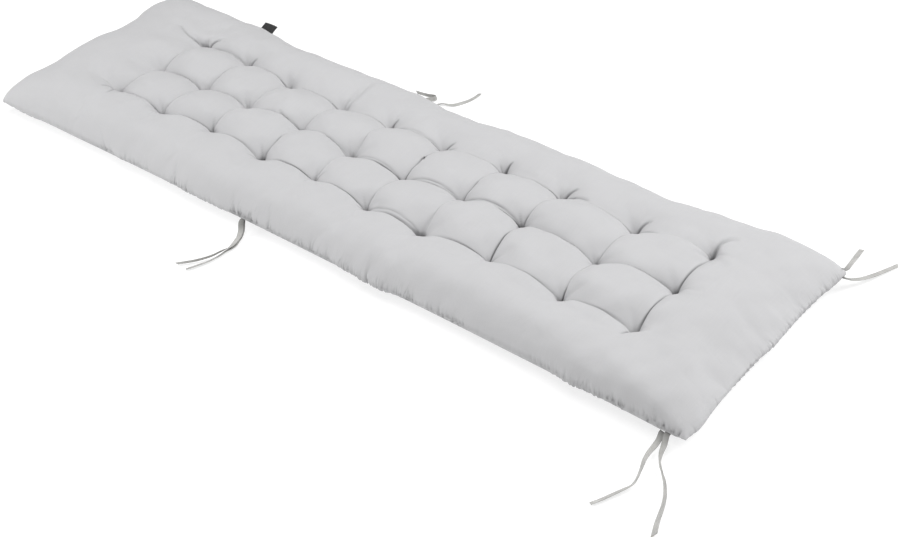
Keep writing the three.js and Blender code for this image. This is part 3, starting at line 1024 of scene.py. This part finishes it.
def fine_strength(along, inward, gathers):
    """How strong the finest puckers are at points this far along the seam and in from it."""
    strength = np.zeros_like(along)
    for start, end, _, value in gathers:
        begun = smoothstep(along, start - FINE_BLUR, start + FINE_BLUR)
        ended = smoothstep(along, end - FINE_BLUR, end + FINE_BLUR)
        strength = np.maximum(strength, value * begun * (1 - ended))
    reach = FINE_REACH * (1 - FINE_GAIN + FINE_GAIN * strength)
    return smoothstep(strength, *FINE_SPAN) * bell(inward / reach)


def lumps(rng, x, y):
    """Slow unevenness of the filling."""
    rise = np.zeros_like(x)
    for wavelength, height in LUMPS:
        for angle in rng.uniform(0, np.pi, LUMP_WAVES):
            phase = rng.uniform(0, 2 * np.pi)
            run = x * np.cos(angle) + y * np.sin(angle)
            rise += height * np.sin(2 * np.pi * run / wavelength + phase)
    return rise


def cloth_shade(x, y, to_seam, dark):
    """Painted shade on the cloth, 0 to 1: from its folds, in a line along its seam and at its tufts."""
    shade = 1 - np.exp(-np.maximum(dark, 0) / SHADE_SCALE)
    shade = np.maximum(shade, SEAM_SHADE * np.exp(-to_seam / SEAM_LINE))
    return np.maximum(shade, TUFT_SHADE * bell(tuft_distance(x, y) / TUFT_SHADE_RADIUS))


def add_wrinkles(mesh):
    """Presses folds, grooves and puckers into the smooth mesh, along its normals."""
    points = read_vectors(mesh.vertices, "co")
    normals = read_vectors(mesh.vertices, "normal")
    s, t, panel = read_vectors(mesh.attributes["net"].data, "vector").T
    seam = read_vectors(mesh.attributes["seam"].data, "vector")
    top = panel > 0.5
    x, y, _ = points[top].T
    s, t = s[top], t[top]
    rng = np.random.default_rng(SEED)
    depth = np.zeros(len(points))
    dark = np.zeros(len(points))
    depth[top], dark[top] = fold_field(x, y)
    along, across = crease_strengths(s, t)
    fans = fan_field(rng, x, y) + double_field(s, t)
    depth[top] += fans + groove_field(s, t, along, across)
    # The fans and second creases get painted shade as deep as they are.
    dark[top] += fans
    for axis, sign, gathers, folds in SEAMS:
        here = top & (np.sign(points[:, axis]) == sign)
        beside, inward = points[here, 1 - axis], seam[here, 1 - axis]
        gathers = metres(gathers, 3)
        puckers, shaded = pucker_field(rng, beside, inward, gathers, metres(folds, 5))
        depth[here] += puckers
        dark[here] += shaded
        seam[here, 2] += fine_strength(beside, inward, gathers)
    # Painted shade for the folds, puckers, seam and tufts, stored for the material.
    shade = cloth_shade(x, y, seam[top, :2].min(axis=1), dark[top])
    set_attribute(mesh, "creases", spread(len(points), top, along, across, shade))
    set_attribute(mesh, "seam", seam)
    depth[top] -= lumps(rng, x, y)
    write_points(mesh, points - normals * depth[:, None])


def seam_distances(points, top_index):
    """Distance along the cloth from the nearest side seam and the nearest end seam."""
    top = points[top_index]
    distances = []
    for axis in (1, 0):
        steps = np.linalg.norm(np.diff(top, axis=axis), axis=2)
        run = np.insert(np.cumsum(steps, axis=axis), 0, 0, axis=axis)
        whole = run.max(axis=axis, keepdims=True)
        distances.append(np.minimum(run, whole - run))
    return distances


def make_cushion(material):
    points, faces, top_index, under_index, s, t = cushion_start()
    cushion = new_mesh("cushion_cover", points, faces, material)
    points = inflated(cushion, points, top_index, under_index, s, t)
    write_points(cushion.data, points)
    from_side, from_end = seam_distances(points, top_index)
    net = spread(len(points), top_index, s, t, np.ones_like(s))
    seam = spread(len(points), top_index, from_side, from_end, np.zeros_like(s))
    half_across = from_side.max(axis=1, keepdims=True)
    cloth = points * (1, 1, 0)
    cloth[top_index, 1] = np.sign(cloth[top_index, 1]) * (half_across - from_side)
    for name, values in (("net", net), ("seam", seam), ("cloth", cloth)):
        set_attribute(cushion.data, name, values)
    subdivide(cushion)
    refine(cushion.data)
    add_wrinkles(cushion.data)
    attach(cushion, "root")
    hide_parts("cushion")


# ---------- materials

CUSHION_COLOUR = (0.450, 0.449, 0.457)
TIE_COLOUR = (0.40, 0.397, 0.383)
LABEL_COLOUR = (0.012, 0.012, 0.012)
CLOTH_SHEEN = 0.08
TAPE_SHEEN = 0.05
# Each noise: features a metre along its three axes, and its detail.
CLOTH_MOTTLE = ((9, 9, 1), 3.0)
CLOTH_CRUMPLE = ((55, 70, 1), 3.0)
WARP = ((16, 950, 1), 2.0)
WEFT = ((950, 16, 1), 2.0)
PUCKER_PATCHES = ((24, 24, 1), 2.0)
TAPE_THREADS = ((60, 900, 1), 2.0)
TAPE_MOTTLE = ((45, 120, 1), 3.0)
# Painted satin sheen: broad lighter and darker stretches along a tape.
TAPE_SHEEN_BANDS = ((30, 20, 1), 2.0)
# Each bump: its height in metres and its strength.
CRUMPLE_BUMP = (0.0012, 0.5)
PUCKER_BUMP = (0.0010, 0.8)
SLUB_BUMP = (0.00012, 0.6)
WEAVE_BUMP = (0.00008, 0.7)
TAPE_CRUMPLE_BUMP = (0.0008, 0.4)
RIB_BUMP = (0.0001, 0.8)
WEAVE_PITCH = 0.0006
# How sharply the weave's threads cross over, and the patches of fine puckers begin.
WEAVE_CONTRAST = 2.5
PATCH_CONTRAST = 4.0
# Height of the threads that run along a tape, as a share of its ribs' height.
THREAD_HEIGHT = 0.5
CLOTH_ROUGHNESS = 0.85
ROUGHNESS_CHANGE = 0.12
# How much darker the painted shade makes the darkest creases, and the half width of the line of painted
# shade drawn in a crease:
# at the least, and its gain where the crease is drawn in tightly.
SHADE_DEPTH = 0.88
CREASE_LINE = 0.0005
CREASE_LINE_GAIN = 0.001
# The finest puckers: how many a metre along the seam and inwards, their width and their painted shade.
PUCKERS_A_METRE = 75
PUCKERS_INWARD = 12
PUCKER_LINE = 0.03
PUCKER_LINE_SHADE = 0.4
# The ties are painted darker near the seam, as painted shade where the cushion shades them.
ROOT_SHADE = 0.85
ROOT_SHADE_LENGTH = 0.014
# The tape's selvedge, in shares of its half width.
SELVEDGE_START = 0.80
SELVEDGE_FULL = 0.88
TIE_RIB_PITCH = 0.0007
TIE_ROUGHNESS = 0.6
LABEL_RIB_PITCH = 0.0004
LABEL_ROUGHNESS = 0.55
# The floor glows a little, painted light that keeps the shadows on it light.
FLOOR_WHITE = 0.45
FLOOR_GLOW = 0.60
FLOOR_ROUGHNESS = 0.9
WHITE = (1, 1, 1, 1)


def new_material(name, roughness, sheen):
    """A new material, its node tree and its shader."""
    material = bpy.data.materials.new(name)
    material.use_nodes = True
    shader = material.node_tree.nodes["Principled BSDF"]
    shader.inputs["Roughness"].default_value = roughness
    shader.inputs["Sheen Weight"].default_value = sheen
    return material, material.node_tree, shader


def add(tree, kind, inputs, **settings):
    """A new node. Its inputs are given by name or number, as values or as other nodes' outputs."""
    node = tree.nodes.new("ShaderNode" + kind)
    for key, value in settings.items():
        setattr(node, key, value)
    for key, value in inputs.items():
        if isinstance(value, bpy.types.NodeSocket):
            tree.links.new(value, node.inputs[key])
        else:
            node.inputs[key].default_value = value
    return node


def calc(tree, operation, *values):
    return add(tree, "Math", dict(enumerate(values)), operation=operation).outputs[0]


def times(tree, a, b):
    return calc(tree, "MULTIPLY", a, b)


def times_plus(tree, a, b, c):
    return calc(tree, "MULTIPLY_ADD", a, b, c)


def clamped(tree, value):
    return add(tree, "Clamp", {0: value}).outputs[0]


def split(tree, vector):
    return add(tree, "SeparateXYZ", {0: vector}).outputs


def attribute(tree, name):
    return add(tree, "Attribute", {}, attribute_name=name).outputs["Vector"]


def bell_curve(tree, share):
    return calc(tree, "EXPONENT", times(tree, times(tree, share, share), -1.0))


def wave(tree, value, pitch):
    """A sine wave that crosses zero at every pitch."""
    return calc(tree, "SINE", times(tree, value, math.pi / pitch))


def noise(tree, place, stretch, detail):
    """Noise from -0.5 to 0.5, with this many features a metre along each axis."""
    scaled = add(tree, "VectorMath", {0: place, 1: stretch}, operation="MULTIPLY").outputs[0]
    texture = add(tree, "TexNoise", {"Vector": scaled, "Scale": 1.0, "Detail": detail})
    return calc(tree, "SUBTRACT", texture.outputs[0], 0.5)


def varied(tree, colour, *parts):
    """The colour times 1 plus every part: pairs of a value and its weight."""
    factor = 1.0
    for value, weight in parts:
        factor = times_plus(tree, value, weight, factor)
    return add(tree, "VectorMath", {0: colour, "Scale": factor}, operation="SCALE").outputs[0]


def plain_weave(tree, place, pitch):
    """Height of a plain weave, 0 to 1, with its threads one pitch apart both ways."""
    waves = [wave(tree, value, pitch) for value in split(tree, place)[:2]]
    ridges = [calc(tree, "ABSOLUTE", value) for value in waves]
    share = clamped(tree, times_plus(tree, times(tree, *waves), WEAVE_CONTRAST, 0.5))
    return times_plus(tree, share, calc(tree, "SUBTRACT", *ridges), ridges[1])


def bump(tree, height, size, under=None):
    distance, strength = size
    inputs = {"Height": height, "Distance": distance, "Strength": strength}
    if under:
        inputs["Normal"] = under
    return add(tree, "Bump", inputs).outputs[0]


def crease_shade(tree):
    """How much painted shade the cloth gets: sharp dark lines along the creases of the net, and the stored
    painted shade.
    """
    s, t, _ = split(tree, attribute(tree, "net"))
    along, across, stored = split(tree, attribute(tree, "creases"))
    lines = []
    for value, pitch, strength in ((t, TUFT_PITCH_ACROSS, along), (s, TUFT_PITCH_ALONG, across)):
        gap = calc(tree, "ABSOLUTE", calc(tree, "SUBTRACT", value, calc(tree, "ROUND", value)))
        width = times_plus(tree, strength, CREASE_LINE_GAIN, CREASE_LINE)
        line = bell_curve(tree, calc(tree, "DIVIDE", times(tree, gap, pitch), width))
        lines.append(times(tree, line, strength))
    return calc(tree, "MINIMUM", calc(tree, "ADD", calc(tree, "MAXIMUM", *lines), stored), 1.0)


def fine_puckers(tree, cloth):
    """The finest puckers: thin wavy lines of painted shade that run in from the seam where it is gathered.
    """
    from_side, from_end, fine = split(tree, attribute(tree, "seam"))
    at_side = calc(tree, "LESS_THAN", from_side, from_end)
    change = PUCKERS_A_METRE - PUCKERS_INWARD
    along_x = times_plus(tree, at_side, change, PUCKERS_INWARD)
    along_y = times_plus(tree, at_side, -change, PUCKERS_A_METRE)
    stretch = add(tree, "CombineXYZ", {0: along_x, 1: along_y, 2: 1.0}).outputs[0]
    line = bell_curve(tree, calc(tree, "DIVIDE", noise(tree, cloth, stretch, 2.0), PUCKER_LINE))
    patches = times_plus(tree, noise(tree, cloth, *PUCKER_PATCHES), PATCH_CONTRAST, 0.5)
    return times(tree, times(tree, line, fine), clamped(tree, patches))


def cushion_material():
    """Outdoor polyester: a fine plain weave with uneven threads, crumpled a little, with painted
    shade in its creases, folds, puckers and tufts and along its seam."""
    material, tree, shader = new_material("cushion_cloth", CLOTH_ROUGHNESS, CLOTH_SHEEN)
    cloth = attribute(tree, "cloth")
    mottle = noise(tree, cloth, *CLOTH_MOTTLE)
    warp = noise(tree, cloth, *WARP)
    weft = noise(tree, cloth, *WEFT)
    weave = plain_weave(tree, cloth, WEAVE_PITCH)
    puckers = fine_puckers(tree, cloth)
    # Painted shade: the lines of the finest puckers and of the creases, with the stored painted shade of
    # folds, tufts and seam.
    shade = times_plus(tree, puckers, PUCKER_LINE_SHADE, crease_shade(tree))
    shade = calc(tree, "MINIMUM", shade, 1.0)
    parts = ((mottle, 0.05), (warp, 0.07), (weft, 0.07), (weave, 0.03), (shade, -SHADE_DEPTH))
    tree.links.new(varied(tree, CUSHION_COLOUR, *parts), shader.inputs["Base Color"])
    roughness = times_plus(tree, warp, ROUGHNESS_CHANGE, CLOTH_ROUGHNESS)
    tree.links.new(roughness, shader.inputs["Roughness"])
    crumpled = bump(tree, noise(tree, cloth, *CLOTH_CRUMPLE), CRUMPLE_BUMP)
    pressed = bump(tree, times(tree, puckers, -1.0), PUCKER_BUMP, crumpled)
    uneven = bump(tree, calc(tree, "ADD", warp, weft), SLUB_BUMP, pressed)
    tree.links.new(bump(tree, weave, WEAVE_BUMP, uneven), shader.inputs["Normal"])
    return material


def tape_material(name, colour, width, roughness, rib_pitch, root_shade):
    """Woven tape: ribs across it, a tighter selvedge along both edges, uneven threads, broad stretches of
    painted satin sheen, and painted shade towards its root.
    """
    material, tree, shader = new_material(name, roughness, TAPE_SHEEN)
    tape = attribute(tree, "tape")
    along, across, _ = split(tree, tape)
    ribs, threads = (
        calc(tree, "ABSOLUTE", wave(tree, value, rib_pitch)) for value in (along, across)
    )
    reach = calc(tree, "DIVIDE", calc(tree, "ABSOLUTE", across), width / 2)
    span = {"Value": reach, "From Min": SELVEDGE_START, "From Max": SELVEDGE_FULL}
    selvedge = add(tree, "MapRange", span).outputs[0]
    uneven = noise(tree, tape, *TAPE_THREADS)
    mottle = noise(tree, tape, *TAPE_MOTTLE)
    # Painted satin sheen, in broad lighter and darker stretches along the tape.
    sheen_bands = noise(tree, tape, *TAPE_SHEEN_BANDS)
    # Painted shade: the tape darkens towards its root, where the cushion shades it.
    root = calc(tree, "EXPONENT", times(tree, along, -1 / ROOT_SHADE_LENGTH))
    parts = (
        (uneven, 0.16), (mottle, 0.16), (sheen_bands, 0.7),
        (ribs, 0.08), (selvedge, -0.14), (root, -root_shade),
    )
    tree.links.new(varied(tree, colour, *parts), shader.inputs["Base Color"])
    crumpled = bump(tree, mottle, TAPE_CRUMPLE_BUMP)
    height = times_plus(tree, threads, THREAD_HEIGHT, ribs)
    tree.links.new(bump(tree, height, RIB_BUMP, crumpled), shader.inputs["Normal"])
    return material


def floor_material():
    material, _, shader = new_material("floor_white", FLOOR_ROUGHNESS, 0)
    shader.inputs["Base Color"].default_value = (FLOOR_WHITE, FLOOR_WHITE, FLOOR_WHITE, 1)
    shader.inputs["Emission Color"].default_value = WHITE
    # Painted light: the floor glows, so shadows on it stay light.
    shader.inputs["Emission Strength"].default_value = FLOOR_GLOW
    return material


# ---------- floor and lights

# Softboxes aimed at the origin: name, place, size, energy.
LAMPS = [
    ("softbox_foot_left", (2.4, 2.2, 2.6), 2.0, 84),
    ("softbox_head_right", (-2.4, -2.6, 1.6), 2.4, 79),
    ("softbox_over", (0, 0, 3.0), 2.5, 52),
    ("softbox_foot", (3.3, 0.7, 2.0), 2.0, 25),
]
WORLD_STRENGTH = 0.36
FLOOR_HALF = 40


def make_stage():
    corners = [(a * FLOOR_HALF, b * FLOOR_HALF, 0) for a, b in ((-1, -1), (1, -1), (1, 1), (-1, 1))]
    floor = new_mesh("floor", corners, [(0, 1, 2, 3)], floor_material())
    world = bpy.data.worlds.new("studio")
    bpy.context.scene.world = world
    world.use_nodes = True
    background = world.node_tree.nodes["Background"]
    background.inputs["Color"].default_value = WHITE
    background.inputs["Strength"].default_value = WORLD_STRENGTH
    for name, place, size, energy in LAMPS:
        lamp = bpy.data.lights.new(name, "AREA")
        lamp.size = size
        lamp.energy = energy
        softbox = bpy.data.objects.new(name, lamp)
        softbox.location = place
        softbox.rotation_euler = (-Vector(place)).to_track_quat("-Z", "Y").to_euler()
        show(softbox)
    bpy.context.scene.view_settings.view_transform = "Standard"


# ---------- assembly


def main():
    make_camera()
    tie_cloth = tape_material(
        "tie_cloth", TIE_COLOUR, TIE_WIDTH, TIE_ROUGHNESS, TIE_RIB_PITCH, ROOT_SHADE
    )
    for name in TIE_ROUTES:
        make_tie(name, tie_cloth)
    make_cushion(cushion_material())
    make_label(tape_material(
        "label_cloth", LABEL_COLOUR, LABEL_WIDTH, LABEL_ROUGHNESS, LABEL_RIB_PITCH, 0
    ))
    make_stage()


main()
